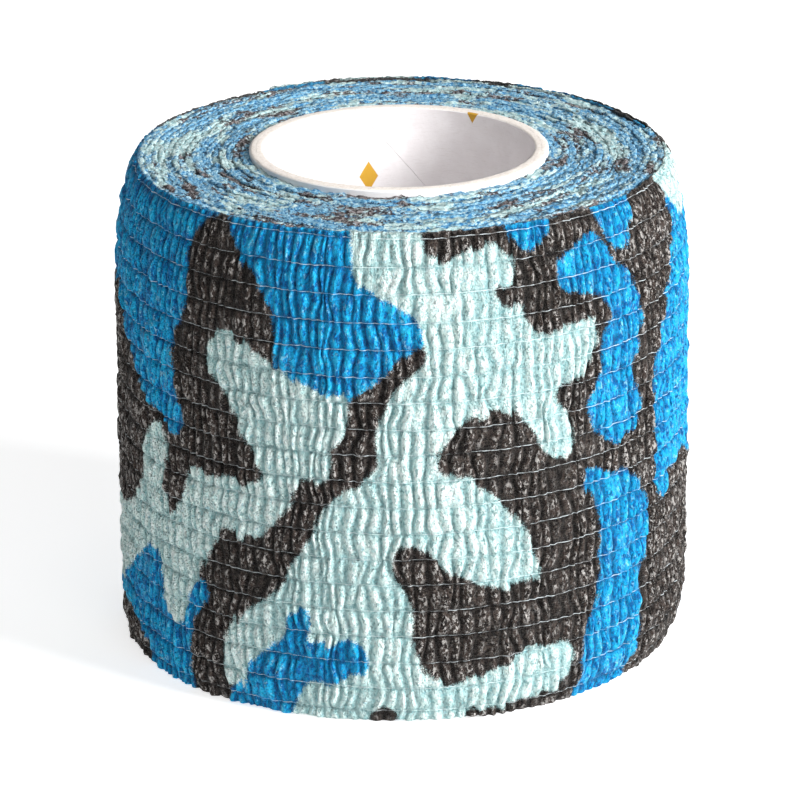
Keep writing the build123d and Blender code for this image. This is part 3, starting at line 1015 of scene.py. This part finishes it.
def build_core():
    """The four plies of the paper core, from the bore outwards."""
    liner = (shade(246, 243, 244), shade(238, 234, 235), shade(244, 236, 230))
    board = (shade(240, 234, 226), shade(232, 225, 214), shade(245, 237, 230))
    wrap = (shade(250, 249, 250), shade(243, 241, 242), shade(246, 239, 233))
    slots = ("core_liner", "core_board", "core_board", "core_wrap")
    looks = {"core_liner": paper("core_liner", *liner, gilt=True)}
    looks.update(core_board=paper("core_board", *board), core_wrap=paper("core_wrap", *wrap))
    radius = BORE_RADIUS
    for slot, (node, thickness, seam) in zip(slots, PLIES):
        ply = core_ply(node, radius, radius + thickness + SWOLLEN_GAP, seam)
        paint(ply, looks[slot])
        radius += thickness + PLY_GAP


# ======== Studio ========
AIM_HEIGHT = 23.6
CAMERA_DISTANCE = 502.0
CAMERA_ELEVATION = math.radians(19.83)
CAMERA_ROLL = math.radians(-0.445)
CAMERA_LENS = 221.2
CAMERA_SHIFT = -0.001
FLOOR_HALF, FLOOR_LEVEL = 3000.0, -0.02
FLOOR_GLOW = 0.70
SURROUND = 0.20
# each soft light's place and size in metres, and its power in watts
LIGHTS = {
    "key": ((0.43, -0.25, 0.29), 0.20, 5.1),
    "fill": ((0.28, -0.8, 0.35), 0.4, 1.7),
    "overhead": ((0.12, 0.15, 0.7), 0.40, 0.6),
}


def add_camera():
    """Camera in front of the roll and above it, with a long lens."""
    data = bpy.data.cameras.new("camera")
    data.lens = CAMERA_LENS
    data.sensor_width = 36.0
    data.shift_x = CAMERA_SHIFT
    data.clip_start, data.clip_end = 0.01, 20.0
    camera = bpy.data.objects.new("camera", data)
    back = Vector((0, -math.cos(CAMERA_ELEVATION), math.sin(CAMERA_ELEVATION)))
    camera.location = Vector((0, 0, AIM_HEIGHT * MM)) + back * CAMERA_DISTANCE * MM
    camera.rotation_mode = "QUATERNION"
    turn = (-back).to_track_quat("-Z", "Y")
    camera.rotation_quaternion = turn @ Matrix.Rotation(CAMERA_ROLL, 3, "Z").to_quaternion()
    bpy.context.scene.collection.objects.link(camera)
    bpy.context.scene.camera = camera


def add_light(name, position, size, power):
    """A square soft light that points at the middle of the roll."""
    data = bpy.data.lights.new(name, "AREA")
    data.shape, data.size, data.energy = "SQUARE", size, power
    light = bpy.data.objects.new(name, data)
    light.location = position
    aim = Vector((0, 0, AIM_HEIGHT * MM)) - Vector(position)
    light.rotation_mode = "QUATERNION"
    light.rotation_quaternion = aim.to_track_quat("-Z", "Y")
    bpy.context.scene.collection.objects.link(light)


def build_studio():
    """Pale floor, pale surround, and soft light from the front right and a little from above."""
    world = bpy.data.worlds.new("studio")
    world.use_nodes = True
    background = world.node_tree.nodes["Background"]
    background.inputs["Color"].default_value = (1.0, 1.0, 1.0, 1.0)
    background.inputs["Strength"].default_value = SURROUND
    bpy.context.scene.world = world
    corners = [(-1, -1), (1, -1), (1, 1), (-1, 1)]
    points = np.array([(FLOOR_HALF * x, FLOOR_HALF * y, FLOOR_LEVEL) for x, y in corners])
    floor = make_piece("floor", points, np.array([[0, 1, 2, 3]]))
    m = Shader("floor")
    glow = {"Emission_Color": (1, 1, 1, 1), "Emission_Strength": FLOOR_GLOW}
    floor.data.materials.append(m.finish(shade(224, 224, 224), 0.8, **glow))
    for name, settings in LIGHTS.items():
        add_light(name, *settings)
    bpy.context.scene.view_settings.view_transform = "Standard"


build_strip()
build_core()
build_studio()
add_camera()

bpy.context.view_layer.update()
